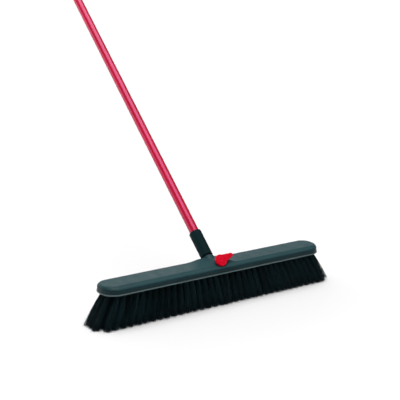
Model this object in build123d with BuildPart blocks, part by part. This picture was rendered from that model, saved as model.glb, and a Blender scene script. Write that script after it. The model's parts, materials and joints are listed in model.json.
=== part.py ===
"""Push broom: moulded head with fanned bristle tufts, angled handle and a lever clamp.

Millimetres, +Z up. The origin is on the floor, below the middle of the head.
X runs along the head, +Y is the side that the handle leans to.
"""
from build123d import *
from math import cos, pi, radians, sin
import os

os.makedirs("parts", exist_ok=True)

# ---------------------------------------------------------------- head
head_length = 610.0
head_width = 79.4
corner_radius = 36.0
bristle_height = 76.0
head_height = 19.5
lip_height = 3.0
lip_overhang = 1.4
lip_rounding = 1.2
groove_height = 0.8
groove_depth = 1.2
shoulder_drop = 6.0
shoulder_inset = 13.0
end_inset = 4.0
shoulder_rounding = 7.0
top_rounding = 5.0
pad_inset = 6.0
pad_height = 7.0
pad_clearance = 0.4
top_wall = 3.5
pocket_length = 32.0
pocket_width = 21.0
pocket_columns = (126.0, 166.0, 206.0, 272.0)
pocket_rows = (-13.5, 13.5)

# ---------------------------------------------------------------- tufts
tuft_pitch = 16.0
columns_per_side = 18
row_pitch = 14.0
rows_per_side = 2
hole_radius = 3.75
hole_depth = 8.5
tuft_root_radius = 3.6
tuft_root_depth = 6.2
tip_radius_x = 7.8
tip_radius_y = 9.0
centre_tip_radius_x = 2.9
left_fan_lean = (0.19, -0.52)
right_fan_lean = (0.0, 0.52)
row_lean = 0.126
anchor_size = (7.2, 0.35, 2.0)

# ---------------------------------------------------------------- plate screws
screw_columns = (-15.5, -5.5, 5.5, 15.5)
screw_rows = (-0.5, 0.5)
screw_radius = 1.75
screw_head_radius = 3.8
screw_head_height = 2.4
screw_recess_depth = 3.0
screw_tip_below_top = 3.5

# ---------------------------------------------------------------- handle
lean_angle = 48.5
handle_foot_y = 24.0
tube_radius = 11.9
tube_wall = 0.8
tube_length = 1524.0
swaged_radius = 11.6
swage_past_sleeve = 1.0
sleeve_radius = 15.3
sleeve_start = 9.0
sleeve_relief = 1.0
sleeve_length = 70.0
tube_seat = 14.0
tube_clearance = 0.05
foot_radius = 12.6
foot_flat = 11.6
foot_reach = 34.0
socket_clearance = 0.15
socket_floor_gap = 0.2
collar_top = 4.0
collar_radius = 15.2
collar_root_radius = 19.5
collar_root = -18.0
rivet_position = 62.0
rivet_radius = 2.0
rivet_head_radius = 4.0
cap_plug_length = 25.0
cap_rim_height = 6.0
cap_tab_reach = 19.0
cap_tab_radius = 9.5
cap_tab_thickness = 8.0
hang_hole_radius = 4.0

# ---------------------------------------------------------------- hump on the head
hump_height = 6.5
hump_half_length = 56.0
hump_half_top = 14.0
hump_front_y = -28.0
hump_ridge_y = 8.0
hump_back_y = 18.0
hump_back_reach = 1.0

# ---------------------------------------------------------------- lever clamp
clamp_elevation = 42.0
lever_face_x = 4.0
lever_face_y = -26.0
lever_face_z = 106.6
lever_hub_radius = 15.0
lever_thickness = 5.0
lever_gap = 0.8
lever_neck_radius = 12.0
lever_neck_tip_radius = 9.0
lever_tail_reach = 33.2
lever_tail_radius = 5.2
lever_tail_upper_root = 13.6
lever_tail_lower_root = 11.5
lever_blend_radius = 9.0
lever_tail_angle = 15.0
lever_cap_radius = 8.5
lever_cap_recess = 0.9
seat_depth = 8.8
seat_gap = 0.4
seat_boss_radius = 11.0
stud_radius = 4.0
stud_clearance = 0.06
stud_grip_depth = 3.0
stud_tip_radius = 2.8
stud_tip_length = 2.4
bush_radius = 5.8
bush_end = 18.2
jaw_face_depth = 21.6
jaw_half_width = 8.5
jaw_clearance = 0.3
jaw_grip_gap = 0.1
clamp_travel = 2.5

# ---------------------------------------------------------------- derived heights and planes
head_bottom = bristle_height
lip_top = head_bottom + lip_height
cover_bottom = lip_top + groove_height
head_top = head_bottom + head_height
shoulder_z = head_top - shoulder_drop
pad_top = lip_top + pad_height
cavity_top = pad_top + pad_clearance
socket_bottom = cavity_top + 2.0
foot_bottom = socket_bottom + socket_floor_gap
ridge_top = head_top + hump_height

lean = radians(lean_angle)
along_handle = Vector(0, sin(lean), cos(lean))
handle_front = Vector(0, -cos(lean), sin(lean))
handle_origin = Vector(0, handle_foot_y, head_top)

tilt = radians(clamp_elevation)
clamp_axis = Vector(0, -cos(tilt), sin(tilt))
lever_face = Vector(lever_face_x, lever_face_y, lever_face_z)


def handle_plane(distance):
    """A plane square to the handle, at a distance along it from the head's top."""
    return Plane(handle_origin + along_handle * distance, x_dir=(1, 0, 0), z_dir=along_handle)


def clamp_plane(distance):
    """A plane square to the clamp screw; distances inside the head are negative."""
    return Plane(lever_face + clamp_axis * distance, x_dir=(1, 0, 0), z_dir=clamp_axis)


def lever_plane(distance):
    """The same plane, turned so that its X axis runs along the lever's tail."""
    turn = radians(lever_tail_angle)
    along_tail = Vector(cos(turn), sin(turn) * sin(tilt), sin(turn) * cos(tilt))
    return Plane(lever_face + clamp_axis * distance, x_dir=along_tail, z_dir=clamp_axis)


def write(builder, name):
    """Label a finished piece and write its STEP file."""
    builder.part.label = name
    export_step(builder.part, f"parts/{name}.step")


# ---------------------------------------------------------------- tuft layout
def tuft_lean(column):
    """Sideways lean of a column. Each half of the head is one fan, from its centre to its end."""
    if column == 0:
        return (left_fan_lean[0] + right_fan_lean[0]) / 2
    at_centre, at_end = left_fan_lean if column < 0 else right_fan_lean
    return at_centre + (at_end - at_centre) * abs(column) / columns_per_side


def inside_head(x, y):
    """True where a tuft hole keeps clear of the pad's rounded corners."""
    margin = pad_inset + hole_radius + 1.5
    corner = corner_radius
    dx = max(abs(x) - (head_length / 2 - corner), 0)
    dy = max(abs(y) - (head_width / 2 - corner), 0)
    return dx * dx + dy * dy <= (corner - margin) ** 2


columns = range(-columns_per_side, columns_per_side + 1)
rows = range(-rows_per_side, rows_per_side + 1)
tuft_places = [
    (column, row)
    for row in rows
    for column in columns
    if inside_head(column * tuft_pitch, row * row_pitch)
]


def root_of(column, row):
    """Where a tuft leaves the plate."""
    return column * tuft_pitch, row * row_pitch


def tip_of(column, row):
    """Where the same tuft meets the floor."""
    x, y = root_of(column, row)
    return x + tuft_lean(column) * bristle_height, y + row * row_lean / rows_per_side * bristle_height


def make_tuft(column, row):
    """One bundle of bristles: a root in its hole and a spreading, leaning body."""
    with BuildPart() as tuft:
        with BuildSketch(Plane.XY.offset(head_bottom)):
            with Locations(root_of(column, row)):
                Circle(tuft_root_radius)
        with BuildSketch(Plane.XY):
            with Locations(tip_of(column, row)):
                Ellipse(centre_tip_radius_x if column == 0 else tip_radius_x, tip_radius_y)
        loft(ruled=True)
        with BuildSketch(Plane.XY.offset(head_bottom)):
            with Locations(root_of(column, row)):
                Circle(tuft_root_radius)
        extrude(amount=tuft_root_depth)
    return tuft.part


row_names = {-2: "front_row", -1: "front_inner_row", 0: "middle_row", 1: "rear_inner_row", 2: "rear_row"}

for row, row_name in row_names.items():
    for side, sign in (("left", -1), ("right", 1)):
        tufts = [make_tuft(c, r) for c, r in tuft_places if r == row and c * sign > 0]
        with BuildPart() as tuft_row:
            add(tufts)
        write(tuft_row, f"tufts_{row_name}_{side}")

centre_tufts = [make_tuft(c, r) for c, r in tuft_places if c == 0]
with BuildPart() as tufts_centre:
    add(centre_tufts)
write(tufts_centre, "tufts_centre_column")

for side, sign in (("left", -1), ("right", 1)):
    with BuildPart() as anchors:
        anchor_z = head_bottom + hole_depth - 0.2 - anchor_size[2] / 2
        places = [root_of(c, r) for c, r in tuft_places if c * sign > 0 or (c == 0 and sign > 0)]
        with Locations([(x, y, anchor_z) for x, y in places]):
            Box(*anchor_size)
    write(anchors, f"tuft_anchors_{side}")

# ---------------------------------------------------------------- tuft plate
screw_places = [(c * tuft_pitch, r * row_pitch) for c in screw_columns for r in screw_rows]

with BuildPart() as tuft_plate:
    with BuildSketch(Plane.XY.offset(head_bottom)):
        RectangleRounded(
            head_length + 2 * lip_overhang, head_width + 2 * lip_overhang, corner_radius + lip_overhang
        )
    extrude(amount=lip_height)
    rims = tuft_plate.faces().sort_by(Axis.Z)[-1].edges() + tuft_plate.faces().sort_by(Axis.Z)[0].edges()
    fillet(rims, radius=lip_rounding)
    with BuildSketch(Plane.XY.offset(lip_top)):
        RectangleRounded(head_length - 2 * pad_inset, head_width - 2 * pad_inset, corner_radius - pad_inset)
    extrude(amount=pad_height)
    with BuildSketch(Plane.XY.offset(head_bottom)):
        with Locations([root_of(c, r) for c, r in tuft_places]):
            Circle(hole_radius)
    extrude(amount=hole_depth, mode=Mode.SUBTRACT)
    with BuildSketch(Plane.XY.offset(head_bottom)):
        with Locations(screw_places):
            Circle(screw_radius + 0.15)
    extrude(amount=lip_height + pad_height, mode=Mode.SUBTRACT)
    with BuildSketch(Plane.XY.offset(head_bottom)):
        with Locations(screw_places):
            Circle(screw_head_radius + 0.2)
    extrude(amount=screw_recess_depth, mode=Mode.SUBTRACT)
write(tuft_plate, "tuft_plate")

screw_tip = head_top - screw_tip_below_top
with BuildPart() as plate_screws:
    with BuildSketch(Plane.XY.offset(head_bottom + screw_recess_depth - screw_head_height)):
        with Locations(screw_places):
            Circle(screw_head_radius)
    extrude(amount=screw_head_height)
    with BuildSketch(Plane.XY.offset(head_bottom + screw_recess_depth)):
        with Locations(screw_places):
            Circle(screw_radius)
    extrude(amount=screw_tip - head_bottom - screw_recess_depth)
    chamfer(plate_screws.faces().group_by(Axis.Z)[-1].edges(), length=0.8)
write(plate_screws, "plate_screws")

# ---------------------------------------------------------------- hump of the cover
hump_back_end = head_width / 2 - shoulder_inset + hump_back_reach
with BuildPart() as hump:
    with BuildSketch(Plane.XZ.offset(-head_width / 2)):
        with BuildLine():
            half_way = (-(hump_half_length + hump_half_top) / 2, head_top + hump_height / 2)
            rise = TangentArc((-hump_half_length, head_top), half_way, tangent=(1, 0))
            crest = TangentArc(rise @ 1, (-hump_half_top, ridge_top), tangent=rise % 1)
            ridge = Line(crest @ 1, (hump_half_top, ridge_top))
            fall = TangentArc(ridge @ 1, (-half_way[0], half_way[1]), tangent=(1, 0))
            foot = TangentArc(fall @ 1, (hump_half_length, head_top), tangent=fall % 1)
            Polyline(
                foot @ 1,
                (hump_half_length, shoulder_z),
                (-hump_half_length, shoulder_z),
                rise @ 0,
            )
        make_face()
    extrude(amount=head_width)
    with BuildSketch(Plane.YZ):
        with BuildLine():
            back_slope = Line((hump_front_y, shoulder_z), (hump_front_y, head_top - 0.3))
            front = TangentArc((hump_ridge_y, ridge_top), back_slope @ 1, tangent=(-1, 0))
            top = Line(front @ 0, (hump_back_y, ridge_top))
            back = TangentArc(top @ 1, (hump_back_end, head_top - 0.3), tangent=(1, 0))
            Polyline(back @ 1, (hump_back_end, shoulder_z), back_slope @ 0)
        make_face()
    extrude(amount=hump_half_length, both=True, mode=Mode.INTERSECT)

# ---------------------------------------------------------------- collar round the socket
with BuildPart() as collar:
    with BuildSketch(handle_plane(collar_root)):
        Circle(collar_root_radius)
    with BuildSketch(handle_plane(collar_top)):
        Circle(collar_radius)
    loft()
    split(bisect_by=Plane.XY.offset(cavity_top), keep=Keep.TOP)
    split(bisect_by=Plane.XZ.offset(-head_width / 2 - 0.3), keep=Keep.TOP)

# ---------------------------------------------------------------- boss under the lever
with BuildPart() as seat_boss:
    with BuildSketch(clamp_plane(-jaw_face_depth)):
        Circle(seat_boss_radius)
    extrude(amount=jaw_face_depth - seat_depth)
    split(bisect_by=Plane.XY.offset(cavity_top), keep=Keep.TOP)

# ---------------------------------------------------------------- clamp jaw
flat_low = handle_origin + handle_front * (foot_flat + jaw_grip_gap)


def on_flat(z):
    """The point at height z on the jaw's gripping face."""
    share = (z - flat_low.Z) / along_handle.Z
    return flat_low.Y + along_handle.Y * share, z


def on_jaw_front(distance, z):
    """The point at height z on a line square to the clamp screw, at a distance along it."""
    start = lever_face + clamp_axis * distance
    share = (z - start.Z) / cos(tilt)
    return start.Y + sin(tilt) * share, z


jaw_bottom = foot_bottom + 0.1
jaw_top = jaw_bottom + 7.4
with BuildPart() as clamp_jaw:
    with BuildSketch(Plane.YZ):
        with BuildLine():
            Polyline(
                on_jaw_front(-jaw_face_depth, jaw_bottom),
                on_jaw_front(-jaw_face_depth, jaw_top),
                on_flat(jaw_top),
                on_flat(jaw_bottom),
                close=True,
            )
        make_face()
    extrude(amount=jaw_half_width, both=True)
    chamfer(clamp_jaw.edges().filter_by(Axis.X).group_by(Axis.Z)[-1], length=0.5)
write(clamp_jaw, "clamp_jaw")

cavity_front = -jaw_face_depth + clamp_travel + 2 * jaw_clearance
cavity_roof = jaw_top + clamp_travel * sin(tilt) + 2 * jaw_clearance
with BuildPart() as jaw_cavity:
    with BuildSketch(Plane.YZ):
        with BuildLine():
            Polyline(
                on_jaw_front(cavity_front, socket_bottom),
                on_jaw_front(cavity_front, cavity_roof),
                on_flat(cavity_roof),
                on_flat(socket_bottom),
                close=True,
            )
        make_face()
    extrude(amount=jaw_half_width + jaw_clearance, both=True)

# ---------------------------------------------------------------- handle socket bore
with BuildPart() as socket_bore:
    with BuildSketch(handle_plane(-foot_reach)):
        Circle(foot_radius + socket_clearance)
    extrude(amount=foot_reach + collar_top)
    split(bisect_by=Plane.XY.offset(socket_bottom), keep=Keep.TOP)
    with BuildSketch(handle_plane(collar_top)):
        Circle(sleeve_radius + sleeve_relief)
    extrude(amount=sleeve_length)

# ---------------------------------------------------------------- head cover
pocket_places = [(side * x, y) for side in (-1, 1) for x in pocket_columns for y in pocket_rows]

with BuildPart() as head_cover:
    with BuildSketch(Plane.XY.offset(cover_bottom)):
        RectangleRounded(head_length, head_width, corner_radius)
    extrude(amount=shoulder_z - cover_bottom)
    with BuildSketch(Plane.XY.offset(shoulder_z)):
        RectangleRounded(head_length, head_width, corner_radius)
    with BuildSketch(Plane.XY.offset(head_top)):
        RectangleRounded(
            head_length - 2 * end_inset, head_width - 2 * shoulder_inset, corner_radius - shoulder_inset
        )
    loft(ruled=True)
    fillet(head_cover.edges().filter_by(lambda e: abs(e.center().Z - shoulder_z) < 0.01), shoulder_rounding)
    fillet(head_cover.faces().sort_by(Axis.Z)[-1].edges(), top_rounding)
    add(hump.part)
    add(collar.part)
    add(seat_boss.part)
    add(socket_bore.part, mode=Mode.SUBTRACT)
    add(jaw_cavity.part, mode=Mode.SUBTRACT)
    with BuildSketch(clamp_plane(-lever_thickness - lever_gap)):
        Circle(lever_hub_radius + lever_gap)
    extrude(amount=2 * lever_hub_radius, mode=Mode.SUBTRACT)
    with BuildSketch(clamp_plane(-seat_depth)):
        Circle(lever_neck_tip_radius + lever_gap)
    with BuildSketch(clamp_plane(-lever_thickness - lever_gap)):
        Circle(lever_neck_radius + lever_gap)
    loft(mode=Mode.SUBTRACT)
    with BuildSketch(clamp_plane(cavity_front)):
        Circle(bush_radius)
    extrude(amount=-cavity_front - seat_depth, mode=Mode.SUBTRACT)
    with BuildSketch(Plane.XY.offset(cover_bottom)):
        RectangleRounded(
            head_length - 2 * (pad_inset - pad_clearance),
            head_width - 2 * (pad_inset - pad_clearance),
            corner_radius - pad_inset + pad_clearance,
        )
    extrude(amount=cavity_top - cover_bottom, mode=Mode.SUBTRACT)
    with BuildSketch(Plane.XY.offset(cavity_top)):
        with Locations(pocket_places):
            RectangleRounded(pocket_length, pocket_width, 3)
    extrude(amount=head_top - top_wall - cavity_top, mode=Mode.SUBTRACT)
    with BuildSketch(Plane.XY.offset(cavity_top)):
        with Locations(screw_places):
            Circle(screw_radius + 0.05)
    extrude(amount=screw_tip + 0.5 - cavity_top, mode=Mode.SUBTRACT)
write(head_cover, "head_cover")

# ---------------------------------------------------------------- screw bush
with BuildPart() as screw_bush:
    with BuildSketch(clamp_plane(-bush_end)):
        Circle(bush_radius)
        Circle(stud_radius + stud_clearance, mode=Mode.SUBTRACT)
    extrude(amount=bush_end - seat_depth - 0.2)
write(screw_bush, "screw_bush")

# ---------------------------------------------------------------- lever and clamp screw
with BuildPart() as clamp_lever:
    with BuildSketch(lever_plane(-lever_thickness)) as outline:
        Circle(lever_hub_radius)
        with BuildLine():
            Polyline(
                (0, -lever_tail_lower_root),
                (lever_tail_reach, -lever_tail_radius),
                (lever_tail_reach, lever_tail_radius),
                (0, lever_tail_upper_root),
                close=True,
            )
        make_face()
        with Locations((lever_tail_reach, 0)):
            Circle(lever_tail_radius)
        corners = [v for v in outline.vertices() if abs(Vector(v).length - lever_hub_radius) < 0.01]
        fillet(corners, radius=lever_blend_radius)
    extrude(amount=lever_thickness)
    fillet(clamp_lever.faces().sort_by(Axis(lever_face, clamp_axis))[-1].edges(), radius=1.6)
    with BuildSketch(clamp_plane(-lever_thickness)):
        Circle(lever_neck_radius)
    with BuildSketch(clamp_plane(-seat_depth + seat_gap)):
        Circle(lever_neck_tip_radius)
    loft()
    with BuildSketch(clamp_plane(-lever_cap_recess)):
        Circle(lever_cap_radius + 0.05)
    extrude(amount=5, mode=Mode.SUBTRACT)
    with BuildSketch(clamp_plane(-seat_depth)):
        Circle(stud_radius)
    extrude(amount=seat_depth - stud_grip_depth, mode=Mode.SUBTRACT)
write(clamp_lever, "clamp_lever")

with BuildPart() as lever_cap:
    with BuildSketch(clamp_plane(-lever_cap_recess)):
        Circle(lever_cap_radius)
    extrude(amount=lever_cap_recess + 0.3)
    fillet(lever_cap.faces().sort_by(Axis(lever_face, clamp_axis))[-1].edges(), radius=0.5)
write(lever_cap, "lever_cap")

with BuildPart() as clamp_screw:
    with BuildSketch(clamp_plane(-jaw_face_depth + jaw_grip_gap)):
        Circle(stud_tip_radius)
    extrude(amount=stud_tip_length)
    with BuildSketch(clamp_plane(-jaw_face_depth + jaw_grip_gap + stud_tip_length)):
        Circle(stud_radius)
    extrude(amount=jaw_face_depth - jaw_grip_gap - stud_tip_length - stud_grip_depth)
write(clamp_screw, "clamp_screw")

# ---------------------------------------------------------------- handle socket
rivet_plane = Plane(
    handle_origin + along_handle * rivet_position - handle_front * (tube_radius - 4),
    x_dir=(1, 0, 0),
    z_dir=-handle_front,
)

with BuildPart() as handle_socket:
    with BuildSketch(handle_plane(-foot_reach)):
        Circle(foot_radius)
        with Locations((0, -foot_flat - foot_radius)):
            Rectangle(4 * foot_radius, 2 * foot_radius, mode=Mode.SUBTRACT)
    extrude(amount=foot_reach + sleeve_start)
    split(bisect_by=Plane.XY.offset(foot_bottom), keep=Keep.TOP)
    with BuildSketch(handle_plane(sleeve_start)):
        Circle(sleeve_radius)
    extrude(amount=sleeve_length)
    mouth = handle_socket.edges().filter_by(GeomType.CIRCLE).sort_by(Axis(handle_origin, along_handle))[-1]
    chamfer(mouth, length=1.2)
    with BuildSketch(handle_plane(tube_seat)):
        Circle(swaged_radius + tube_clearance)
    extrude(amount=sleeve_length, mode=Mode.SUBTRACT)
    with BuildSketch(rivet_plane):
        Circle(rivet_radius + 0.05)
    extrude(amount=20, mode=Mode.SUBTRACT)
write(handle_socket, "handle_socket")

tube_start = tube_seat + 0.1
tube_end = tube_start + tube_length
swage_end = sleeve_start + sleeve_length + swage_past_sleeve

with BuildPart() as handle_tube:
    with BuildSketch(handle_plane(tube_start)):
        Circle(swaged_radius)
        Circle(swaged_radius - tube_wall, mode=Mode.SUBTRACT)
    extrude(amount=swage_end - tube_start)
    with BuildSketch(handle_plane(swage_end)):
        Circle(tube_radius)
        Circle(tube_radius - tube_wall, mode=Mode.SUBTRACT)
    extrude(amount=tube_end - swage_end)
    with BuildSketch(rivet_plane):
        Circle(rivet_radius + 0.05)
    extrude(amount=20, mode=Mode.SUBTRACT)
write(handle_tube, "handle_tube")

sleeve_back = sleeve_radius - tube_radius + 4
with BuildPart() as socket_rivet:
    with BuildSketch(rivet_plane.offset(1.5)):
        Circle(rivet_radius)
    extrude(amount=sleeve_back - 1.5 + 0.5)
    with BuildSketch(rivet_plane.offset(sleeve_back + 0.05)):
        Circle(rivet_head_radius)
    extrude(amount=1.5)
    fillet(socket_rivet.faces().sort_by(Axis(handle_origin, -handle_front))[-1].edges(), radius=1.0)
write(socket_rivet, "socket_rivet")

# ---------------------------------------------------------------- handle cap
tab_plane = Plane(handle_origin + along_handle * tube_end, x_dir=along_handle, z_dir=(1, 0, 0))

with BuildPart() as handle_cap:
    with BuildSketch(handle_plane(tube_end - cap_plug_length)):
        Circle(tube_radius - tube_wall - 0.05)
    extrude(amount=cap_plug_length + 0.1)
    with BuildSketch(handle_plane(tube_end + 0.1)):
        Circle(tube_radius - 0.05)
    extrude(amount=cap_rim_height)
    fillet(handle_cap.faces().sort_by(Axis(handle_origin, along_handle))[-1].edges(), radius=2.5)
    with BuildSketch(tab_plane):
        with Locations((cap_tab_reach / 2, 0)):
            Rectangle(cap_tab_reach, 2 * cap_tab_radius)
        with Locations((cap_tab_reach, 0)):
            Circle(cap_tab_radius)
            Circle(hang_hole_radius, mode=Mode.SUBTRACT)
    extrude(amount=cap_tab_thickness / 2, both=True)
write(handle_cap, "handle_cap")
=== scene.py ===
"""Looks of the push broom: bristles, moulded plastics, painted handle, floor, studio light and camera."""
import json
import math

import bpy
import numpy as np
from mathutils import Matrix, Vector


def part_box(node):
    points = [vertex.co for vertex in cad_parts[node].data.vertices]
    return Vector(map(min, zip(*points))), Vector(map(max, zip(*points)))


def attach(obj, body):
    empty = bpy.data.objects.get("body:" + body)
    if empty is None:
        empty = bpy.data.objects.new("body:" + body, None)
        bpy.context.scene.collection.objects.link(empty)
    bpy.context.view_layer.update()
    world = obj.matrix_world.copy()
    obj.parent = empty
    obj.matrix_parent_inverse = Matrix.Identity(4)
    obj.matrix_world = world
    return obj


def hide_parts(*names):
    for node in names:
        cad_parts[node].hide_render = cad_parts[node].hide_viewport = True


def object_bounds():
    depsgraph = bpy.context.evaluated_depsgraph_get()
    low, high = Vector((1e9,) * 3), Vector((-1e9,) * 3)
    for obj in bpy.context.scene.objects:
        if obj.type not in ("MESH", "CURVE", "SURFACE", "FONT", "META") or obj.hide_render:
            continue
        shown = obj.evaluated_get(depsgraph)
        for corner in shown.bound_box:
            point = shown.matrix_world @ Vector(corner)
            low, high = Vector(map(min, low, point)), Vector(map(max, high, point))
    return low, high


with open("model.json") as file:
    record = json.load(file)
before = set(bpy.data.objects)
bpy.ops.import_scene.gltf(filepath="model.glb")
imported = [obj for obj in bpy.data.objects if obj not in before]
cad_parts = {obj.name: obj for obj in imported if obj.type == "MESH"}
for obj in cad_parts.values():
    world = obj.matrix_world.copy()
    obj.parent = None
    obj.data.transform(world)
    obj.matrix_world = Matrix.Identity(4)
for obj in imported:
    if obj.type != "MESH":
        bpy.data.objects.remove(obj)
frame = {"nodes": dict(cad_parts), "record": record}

cad_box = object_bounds()

MM = 0.001
SEED = 7

# ---------------------------------------------------------------- bristles: driving values
FILAMENTS_PER_TUFT = 190
FILAMENT_SIDES = 3
FILAMENT_RADIUS = 0.31 * MM
# The radius at the tip, as a share of the root's. A high power keeps the taper close to the tip.
TIP_RADIUS_SHARE = 0.6
TAPER_POWER = 6
# How soon a tuft opens out: below 1, most of it happens near the root.
SPLAY_POWER = 0.68
FILAMENT_BOW = 1.0 * MM
TIP_SCATTER = 2.7 * MM
TIP_RAGGEDNESS = 1.1 * MM
DISC_JITTER = 0.045
# Where a filament has rings, from 0 at its root to 1 at its tip. The negative one is up in the hole.
RING_STATIONS = (-0.03, 0.0, 0.12, 0.35, 0.65, 1.0)
DEPTH_IN_HOLE = 2.0 * MM
# The share of a filament's shade that its whole tuft has, and the share of its colour that streaks make.
TUFT_SHADE_SHARE = 0.6
STREAK_SHARE = 0.25
TIP_SHADE_POWER = 4

# Tolerances for reading the plain tufts: welding points, finding flat ends, and sorting by place.
WELD = 0.001 * MM
END_BAND = 0.01 * MM
TOP_BAND = 1.0 * MM
SORTING_DIGITS = 4

# ---------------------------------------------------------------- finishes: driving values
# Colours are linear RGB. The scales of noise are in waves per metre, and most of its values lie between
# NOISE_LOW and NOISE_HIGH.
NOISE_LOW = 0.3
NOISE_HIGH = 0.7
SCUFF_SCALE = (6.0, 190.0, 190.0)
SCUFF_STRENGTH = 0.45
SCUFF_GAIN = 2.2
SCUFF_LIFT = 0.02
RUB_SCALE = (420.0, 420.0, 9.0)
BRUSHED_SCALE = (500.0, 500.0, 60.0)
BRISTLE_STREAK_SCALE = (900.0, 900.0, 60.0)
PAINT_DARK = (0.52, 0.002, 0.022)
PAINT_LIGHT = (0.64, 0.004, 0.034)
PAINT_RUBBED = (0.40, 0.01, 0.02)
PAINT_GLOSS = (1.0, 0.28, 0.66, 1.0)
LEVER_DARK = (0.64, 0.001, 0.010)
LEVER_LIGHT = (0.82, 0.002, 0.024)
LEVER_GLOSS = (1.0, 0.2, 0.45, 1.0)
BRISTLE_DARK = (0.0010, 0.0040, 0.0052)
BRISTLE_LIGHT = (0.0110, 0.0400, 0.0500)
BRISTLE_TIP = (0.0048, 0.0180, 0.0230)
FLOOR_COLOUR = (0.96, 0.96, 0.96, 1.0)

# ---------------------------------------------------------------- studio: driving values
CAMERA_AZIMUTH = -33.3
CAMERA_ELEVATION = 14.1
CAMERA_DISTANCE = 2.089
CAMERA_TARGET = Vector((-0.0395, 0.0, 0.2526))
CAMERA_LENS = 81.1
CAMERA_SENSOR = 36.0
CAMERA_REACH = 200.0
FLOOR_HALF_SIZE = 40.0
FLOOR_DROP = 0.2 * MM

# Light from each height of a direction, as a share of the softbox's strength: a dim horizon under one
# large overhead softbox. The first height is 0 and the last is 1.
SOFTBOX_STRENGTH = 4.2
SKY_LEVELS = ((0.0, 0.015), (0.45, 0.045), (0.86, 0.10), (0.91, 0.80), (1.0, 1.0))
# A lit backdrop stands behind the broom, to the left. It fades in between two cosines of the angle from
# its middle, and fades out between two heights.
BACKDROP_AZIMUTH = 17.5
BACKDROP_LEVEL = 0.36
BACKDROP_EDGES = (0.2, 0.8)
BACKDROP_TOP = (0.25, 0.55)

random = np.random.default_rng(SEED)


# ---------------------------------------------------------------- node helpers
# A Mix node's sockets for colours share their names with those for numbers, so they go by their places.
MIX_FIRST = 6
MIX_SECOND = 7
MIX_RESULT = 2


class NodeTree:
    """A node tree, with short calls for the nodes that the finishes and the studio light share."""

    def __init__(self, tree):
        self.tree = tree

    def add(self, kind):
        return self.tree.nodes.new(kind)

    def give(self, socket, value):
        """Links a socket to another one, or sets its value."""
        if isinstance(value, bpy.types.NodeSocket):
            self.tree.links.new(value, socket)
        else:
            socket.default_value = value

    def height(self, vector):
        """The Z part of a vector."""
        split = self.add("ShaderNodeSeparateXYZ")
        self.give(split.inputs["Vector"], vector)
        return split.outputs["Z"]

    def maths(self, operation, *values):
        node = self.add("ShaderNodeMath")
        node.operation = operation
        for socket, value in zip(node.inputs, values):
            self.give(socket, value)
        return node.outputs["Value"]

    def ramp(self, source, low=NOISE_LOW, high=NOISE_HIGH, low_value=0.0, high_value=1.0, smooth=False):
        """Maps a signal from low..high to low_value..high_value, held beyond them."""
        node = self.add("ShaderNodeMapRange")
        node.interpolation_type = "SMOOTHSTEP" if smooth else "LINEAR"
        self.give(node.inputs["Value"], source)
        self.give(node.inputs["From Min"], low)
        self.give(node.inputs["From Max"], high)
        self.give(node.inputs["To Min"], low_value)
        self.give(node.inputs["To Max"], high_value)
        return node.outputs["Result"]


class Finish(NodeTree):
    """A material. In the names of the shader's inputs, an underscore stands for a space."""

    def __init__(self, name):
        self.material = bpy.data.materials.new(name)
        self.material.use_nodes = True
        super().__init__(self.material.node_tree)
        self.shader = self.tree.nodes["Principled BSDF"]
        self.coordinates = self.add("ShaderNodeTexCoord").outputs

    def shade(self, **inputs):
        for name, value in inputs.items():
            self.give(self.shader.inputs[name.replace("_", " ")], value)

    def stretched(self, scale, rotation=(0, 0, 0)):
        """Coordinates for noise that is drawn out along one axis."""
        node = self.add("ShaderNodeMapping")
        self.give(node.inputs["Vector"], self.coordinates["Object"])
        self.give(node.inputs["Scale"], scale)
        self.give(node.inputs["Rotation"], rotation)
        return node.outputs["Vector"]

    def noise(self, scale, detail=4.0, roughness=0.55, place=None, distortion=0.0):
        node = self.add("ShaderNodeTexNoise")
        self.give(node.inputs["Vector"], place or self.coordinates["Object"])
        self.give(node.inputs["Scale"], scale)
        self.give(node.inputs["Detail"], detail)
        self.give(node.inputs["Roughness"], roughness)
        self.give(node.inputs["Distortion"], distortion)
        return node.outputs["Fac"]

    def attribute(self, name):
        node = self.add("ShaderNodeAttribute")
        node.attribute_name = name
        return node.outputs["Fac"]

    def colours(self, factor, first, second):
        """Blends two colours. The first may be a socket."""
        node = self.add("ShaderNodeMix")
        node.data_type = "RGBA"
        self.give(node.inputs["Factor"], factor)
        self.give(node.inputs[MIX_FIRST], first if isinstance(first, bpy.types.NodeSocket) else (*first, 1.0))
        self.give(node.inputs[MIX_SECOND], (*second, 1.0))
        return node.outputs[MIX_RESULT]

    def bump(self, height, distance, strength, under=None):
        """Relief from a height signal, on top of the relief under it."""
        node = self.add("ShaderNodeBump")
        self.give(node.inputs["Height"], height)
        self.give(node.inputs["Distance"], distance)
        self.give(node.inputs["Strength"], strength)
        if under is not None:
            self.give(node.inputs["Normal"], under)
        return node.outputs["Normal"]


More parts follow.
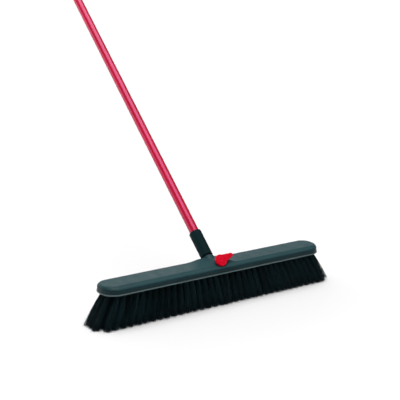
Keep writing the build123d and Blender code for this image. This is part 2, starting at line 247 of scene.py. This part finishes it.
# ---------------------------------------------------------------- finishes
def moulded_plastic(name, dark, light, roughness, specular=0.35, painted_top_light=None):
    """Spark-textured moulding: mottled colour, fine grain, pale scuffs and, if asked, painted light: a
    lighter colour blended onto the upward faces.
    """
    n = Finish(name)
    base = n.colours(n.ramp(n.noise(scale=11.0, detail=6.0), low=0.35, high=0.68), dark, light)
    # Painted light: faces that point up are blended, in patches, towards a lighter colour, as if lit from
    # above.
    if painted_top_light is not None:
        upward = n.ramp(n.height(n.coordinates["Normal"]), low=0.2, high=0.9)
        patches = n.ramp(n.noise(scale=14.0), low_value=0.72)
        base = n.colours(n.maths("MULTIPLY", upward, patches), base, painted_top_light)
    scuff_lines = n.noise(scale=1.0, detail=3.0, place=n.stretched(SCUFF_SCALE), distortion=0.3)
    scuff_patches = n.ramp(n.noise(scale=26.0, detail=5.0), low=0.5, high=0.75)
    scuffs = n.maths("MULTIPLY", n.ramp(scuff_lines, low=0.63, high=0.74), scuff_patches)
    pale = tuple(part * SCUFF_GAIN + SCUFF_LIFT for part in light)
    wear = n.ramp(n.noise(scale=60.0, detail=5.0), low_value=roughness - 0.06, high_value=roughness + 0.07)
    broad = n.bump(n.noise(scale=38.0, detail=3.0), distance=0.12 * MM, strength=0.5)
    grain = n.noise(scale=950.0, detail=3.0, roughness=0.7)
    n.shade(
        Base_Color=n.colours(n.maths("MULTIPLY", scuffs, SCUFF_STRENGTH), base, pale),
        Roughness=wear,
        Normal=n.bump(grain, distance=0.03 * MM, strength=0.8, under=broad),
        Specular_IOR_Level=specular,
    )
    return n.material


def handle_paint(lean):
    """Glossy red powder coat with orange peel, faint long rub marks and a clear coat."""
    n = Finish("handle_paint")
    rub = n.noise(scale=1.0, place=n.stretched(RUB_SCALE, rotation=(lean, 0, 0)))
    base = n.colours(n.ramp(n.noise(scale=7.0, detail=5.0)), PAINT_DARK, PAINT_LIGHT)
    peel = n.noise(scale=330.0, detail=2.0, roughness=0.4)
    n.shade(
        Base_Color=n.colours(n.ramp(rub, low=0.66, high=0.8, high_value=0.5), base, PAINT_RUBBED),
        Roughness=n.ramp(rub, low=0.35, high=0.75, low_value=0.09, high_value=0.20),
        Normal=n.bump(peel, distance=0.03 * MM, strength=0.6),
        Coat_Weight=0.1,
        Coat_Roughness=0.06,
        Specular_IOR_Level=0.95,
        Specular_Tint=PAINT_GLOSS,
    )
    return n.material


def lever_plastic():
    """Saturated red moulding with a pink gloss, fine grain and uneven polish."""
    n = Finish("lever_plastic")
    grain = n.noise(scale=1100.0, detail=3.0, roughness=0.65)
    n.shade(
        Base_Color=n.colours(n.ramp(n.noise(scale=70.0, detail=5.0)), LEVER_DARK, LEVER_LIGHT),
        Roughness=n.ramp(n.noise(scale=140.0), low_value=0.20, high_value=0.34),
        Normal=n.bump(grain, distance=0.025 * MM, strength=0.7),
        Specular_IOR_Level=0.35,
        Specular_Tint=LEVER_GLOSS,
    )
    return n.material


def metal(name, dark, light, roughness):
    """Plated metal: brushed streaks, small tarnish patches and varying polish."""
    n = Finish(name)
    streak = n.noise(scale=1.0, detail=5.0, place=n.stretched(BRUSHED_SCALE))
    tarnish = n.ramp(n.noise(scale=180.0, detail=6.0), low=0.45)
    n.shade(
        Base_Color=n.colours(tarnish, light, dark),
        Roughness=n.ramp(streak, low_value=roughness - 0.07, high_value=roughness + 0.12),
        Normal=n.bump(streak, distance=0.02 * MM, strength=0.6),
        Metallic=1.0,
    )
    return n.material


def bristle_plastic():
    """Near-black filaments: each has its own shade, and the tips share one of their own."""
    n = Finish("bristle")
    streak = n.noise(scale=1.0, detail=3.0, place=n.stretched(BRISTLE_STREAK_SCALE))
    own_shade = n.maths("MULTIPLY", n.attribute("shade"), 1 - STREAK_SHARE)
    mixed = n.maths("ADD", own_shade, n.maths("MULTIPLY", streak, STREAK_SHARE))
    n.shade(
        Base_Color=n.colours(n.attribute("tip"), n.colours(mixed, BRISTLE_DARK, BRISTLE_LIGHT), BRISTLE_TIP),
        Roughness=n.ramp(mixed, low=0.0, high=1.0, low_value=0.34, high_value=0.56),
        Normal=n.bump(streak, distance=0.02 * MM, strength=0.5),
        Specular_IOR_Level=0.12,
    )
    return n.material


# ---------------------------------------------------------------- bristles
def solids_of(node):
    """The points of each separate solid of a CAD node, in metres, in order along X and then Y."""
    mesh = frame["nodes"][node].data
    points = np.empty(len(mesh.vertices) * 3, np.float32)
    mesh.vertices.foreach_get("co", points)
    edges = np.empty(len(mesh.edges) * 2, np.int32)
    mesh.edges.foreach_get("vertices", edges)
    points = points.reshape(-1, 3).astype(float)
    welded, which = np.unique(np.round(points / WELD), axis=0, return_inverse=True)
    first, second = which.reshape(-1)[edges].reshape(-1, 2).T
    # Labels spread along the edges until every solid has one label of its own.
    label = np.arange(len(welded))
    while (label[first] != label[second]).any():
        lower = np.minimum(label[first], label[second])
        np.minimum.at(label, first, lower)
        np.minimum.at(label, second, lower)
    solids = [welded[label == value] * WELD for value in np.unique(label)]
    return sorted(solids, key=place_of_top)


def place_of_top(points):
    top = points[points[:, 2] > points[:, 2].max() - TOP_BAND]
    return tuple(np.round(top.mean(0)[:2], SORTING_DIGITS))


def middle_and_size(points):
    low, high = points.min(0), points.max(0)
    return (low + high) / 2, (high - low) / 2


def tufts_of(node):
    """(root centre, root size, tip centre, tip size) of each tuft of a CAD node."""
    tufts = []
    for points in solids_of(node):
        root = points[points[:, 2] > points[:, 2].max() - END_BAND][:, :2]
        tip = points[points[:, 2] < points[:, 2].min() + END_BAND][:, :2]
        tufts.append((*middle_and_size(root), *middle_and_size(tip)))
    return tufts


def disc_points(count):
    """Points spread over a unit disc, on a sunflower pattern with a little jitter."""
    index = np.arange(count) + 0.5
    radius = np.sqrt(index / count)
    turn = index * math.pi * (3 - math.sqrt(5)) + random.uniform(0, 2 * math.pi)
    points = np.stack([radius * np.cos(turn), radius * np.sin(turn)], 1)
    points += random.normal(0, DISC_JITTER, points.shape)
    return points / np.maximum(np.linalg.norm(points, axis=1, keepdims=True), 1.0)


def filament_paths(tuft, root_z, floor_z):
    """Centre lines of one tuft's filaments: an array of filament, station and coordinate."""
    root, root_size, tip, tip_size = tuft
    disc = disc_points(FILAMENTS_PER_TUFT)
    start = root + disc * (root_size - FILAMENT_RADIUS)
    end = tip + disc * (tip_size - FILAMENT_RADIUS) + random.normal(0, TIP_SCATTER, disc.shape)
    end_z = floor_z + np.abs(random.normal(0, TIP_RAGGEDNESS, FILAMENTS_PER_TUFT))
    bow = random.normal(0, FILAMENT_BOW, disc.shape)
    lean = tip - root
    paths = np.empty((FILAMENTS_PER_TUFT, len(RING_STATIONS), 3))
    for number, station in enumerate(RING_STATIONS):
        share = max(station, 0.0)
        splay = share**SPLAY_POWER
        inside = start * (1 - splay) + (end - lean) * splay
        paths[:, number, :2] = inside + lean * share + bow * math.sin(math.pi * share)
        paths[:, number, 2] = root_z + (end_z - root_z) * share
        if station < 0:
            paths[:, number, 2] += DEPTH_IN_HOLE
    return paths


def tubes(paths):
    """Points, faces and tip shade of thin tubes that follow the paths and are closed at their tips."""
    count = len(paths)
    share = np.clip(RING_STATIONS, 0, 1)[:, None]
    radius = FILAMENT_RADIUS * (1 - (1 - TIP_RADIUS_SHARE) * share**TAPER_POWER)
    phase = random.uniform(0, 2 * math.pi, (count, 1, 1))
    angle = phase + np.arange(FILAMENT_SIDES) * 2 * math.pi / FILAMENT_SIDES
    rings = np.repeat(paths[:, :, None, :], FILAMENT_SIDES, axis=2)
    rings[..., 0] += radius * np.cos(angle)
    rings[..., 1] += radius * np.sin(angle)
    number = np.arange(rings[..., 0].size).reshape(count, len(RING_STATIONS), FILAMENT_SIDES)
    following = np.roll(number, -1, axis=2)
    quads = np.stack([number[:, :-1], number[:, 1:], following[:, 1:], following[:, :-1]], -1)
    caps = number[:, -1, ::-1]
    tip_shade = np.broadcast_to(share**TIP_SHADE_POWER, number.shape)
    return rings.reshape(-1, 3), quads.reshape(-1, 4).tolist() + caps.tolist(), tip_shade.reshape(-1)


def shades_of(filaments):
    """A random shade for each filament, partly shared with the rest of its tuft."""
    per_tuft = np.repeat(random.uniform(0, 1, filaments // FILAMENTS_PER_TUFT), FILAMENTS_PER_TUFT)
    per_filament = random.uniform(0, 1, filaments)
    return per_tuft * TUFT_SHADE_SHARE + per_filament * (1 - TUFT_SHADE_SHARE)


def make_bristles(node, material, root_z, floor_z):
    """Real filaments in place of one node of plain tufts."""
    paths = np.concatenate([filament_paths(tuft, root_z, floor_z) for tuft in tufts_of(node)])
    points, faces, tip_shade = tubes(paths)
    mesh = bpy.data.meshes.new(node.replace("tufts", "bristles"))
    mesh.from_pydata(points.tolist(), [], faces)
    mesh.polygons.foreach_set("use_smooth", [len(face) == 4 for face in faces])
    shade = np.repeat(shades_of(len(paths)), len(RING_STATIONS) * FILAMENT_SIDES)
    for name, values in (("shade", shade), ("tip", tip_shade)):
        attribute = mesh.attributes.new(name, "FLOAT", "POINT")
        attribute.data.foreach_set("value", np.ascontiguousarray(values, np.float32))
    mesh.materials.append(material)
    mesh.update()
    piece = bpy.data.objects.new(mesh.name, mesh)
    bpy.context.scene.collection.objects.link(piece)
    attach(piece, "head")
    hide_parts(node)


bristle_material = bristle_plastic()
plate_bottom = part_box("tuft_plate")[0].z
floor_level = cad_box[0].z
for node_name in sorted(frame["nodes"]):
    if node_name.startswith("tufts_"):
        make_bristles(node_name, bristle_material, plate_bottom, floor_level)


# ---------------------------------------------------------------- finishes on the CAD nodes
def finish_nodes(material, *names):
    for name in names:
        mesh = frame["nodes"][name].data
        mesh.materials.clear()
        mesh.materials.append(material)


grip = next(mount for mount in frame["record"]["mounts"] if mount["name"] == "handle_grip")
handle_axis = Vector(grip["axis"]).normalized()
handle_lean = math.atan2(handle_axis.y, handle_axis.z)

head_plastic = moulded_plastic(
    "head_plastic",
    dark=(0.005, 0.022, 0.027),
    light=(0.009, 0.032, 0.038),
    roughness=0.46,
    specular=0.14,
    # The lighter colour painted onto the upward faces as painted top light.
    painted_top_light=(0.020, 0.068, 0.076),
)
plate_plastic = moulded_plastic(
    "plate_plastic", dark=(0.080, 0.125, 0.130), light=(0.110, 0.160, 0.165), roughness=0.42
)
socket_plastic = moulded_plastic(
    "socket_plastic", dark=(0.003, 0.017, 0.020), light=(0.006, 0.025, 0.029), roughness=0.6, specular=0.06
)
cap_plastic = moulded_plastic(
    "cap_plastic", dark=(0.010, 0.012, 0.013), light=(0.020, 0.023, 0.024), roughness=0.48
)
jaw_plastic = moulded_plastic(
    "jaw_plastic", dark=(0.30, 0.30, 0.28), light=(0.42, 0.42, 0.40), roughness=0.4
)
zinc_steel = metal("zinc_steel", dark=(0.30, 0.31, 0.32), light=(0.60, 0.61, 0.62), roughness=0.3)
brass = metal("brass", dark=(0.45, 0.30, 0.10), light=(0.72, 0.52, 0.22), roughness=0.28)

finish_nodes(head_plastic, "head_cover")
finish_nodes(plate_plastic, "tuft_plate")
finish_nodes(socket_plastic, "handle_socket")
finish_nodes(cap_plastic, "handle_cap")
finish_nodes(jaw_plastic, "clamp_jaw")
finish_nodes(lever_plastic(), "clamp_lever", "lever_cap")
finish_nodes(handle_paint(handle_lean), "handle_tube")
finish_nodes(zinc_steel, "plate_screws", "socket_rivet", "clamp_screw")
finish_nodes(zinc_steel, "tuft_anchors_left", "tuft_anchors_right")
finish_nodes(brass, "screw_bush")


# ---------------------------------------------------------------- floor, studio light and camera
def make_floor():
    half = FLOOR_HALF_SIZE
    mesh = bpy.data.meshes.new("floor")
    corners = [(-half, -half, 0), (half, -half, 0), (half, half, 0), (-half, half, 0)]
    mesh.from_pydata(corners, [], [(0, 1, 2, 3)])
    n = Finish("floor")
    n.shade(Base_Color=FLOOR_COLOUR, Roughness=0.75, Specular_IOR_Level=0.2)
    mesh.materials.append(n.material)
    floor = bpy.data.objects.new("floor", mesh)
    floor.location.z = floor_level - FLOOR_DROP
    bpy.context.scene.collection.objects.link(floor)


def grey(level):
    return (level, level, level, 1.0)


def sky_light(n, height):
    """Light by the height of a direction. A new colour ramp has one stop at 0 and one at 1."""
    node = n.add("ShaderNodeValToRGB")
    n.give(node.inputs["Fac"], height)
    stops = node.color_ramp.elements
    horizon, *between, overhead = SKY_LEVELS
    stops[0].color = grey(horizon[1])
    stops[1].color = grey(overhead[1])
    for stop_height, level in between:
        stops.new(stop_height).color = grey(level)
    return node.outputs["Color"]


def backdrop_light(n, direction, height):
    """Two signals to be multiplied: the backdrop's level across, and its cut-off by height."""
    azimuth = math.radians(BACKDROP_AZIMUTH)
    facing = n.add("ShaderNodeVectorMath")
    facing.operation = "DOT_PRODUCT"
    n.give(facing.inputs[0], direction)
    n.give(facing.inputs[1], (-math.sin(azimuth), math.cos(azimuth), 0.0))
    level = n.ramp(facing.outputs["Value"], *BACKDROP_EDGES, high_value=BACKDROP_LEVEL, smooth=True)
    cut_off = n.ramp(height, *BACKDROP_TOP, low_value=1.0, high_value=0.0, smooth=True)
    return level, cut_off


def make_studio_light():
    world = bpy.data.worlds.new("studio")
    world.use_nodes = True
    n = NodeTree(world.node_tree)
    direction = n.add("ShaderNodeTexCoord").outputs["Generated"]
    height = n.height(direction)
    light = n.maths("MULTIPLY_ADD", *backdrop_light(n, direction, height), sky_light(n, height))
    background = n.tree.nodes["Background"]
    n.give(background.inputs["Color"], grey(1.0))
    n.give(background.inputs["Strength"], n.maths("MULTIPLY", light, SOFTBOX_STRENGTH))
    bpy.context.scene.world = world


def make_camera():
    azimuth = math.radians(CAMERA_AZIMUTH)
    elevation = math.radians(CAMERA_ELEVATION)
    level_share = math.cos(elevation)
    back = Vector((math.sin(azimuth) * level_share, -math.cos(azimuth) * level_share, math.sin(elevation)))
    data = bpy.data.cameras.new("camera")
    data.lens = CAMERA_LENS
    data.sensor_width = CAMERA_SENSOR
    data.clip_end = CAMERA_REACH
    camera = bpy.data.objects.new("camera", data)
    camera.location = CAMERA_TARGET + back * CAMERA_DISTANCE
    camera.rotation_mode = "QUATERNION"
    camera.rotation_quaternion = (-back).to_track_quat("-Z", "Y")
    bpy.context.scene.collection.objects.link(camera)
    bpy.context.scene.camera = camera


make_floor()
make_studio_light()
make_camera()
bpy.context.scene.view_settings.view_transform = "Standard"
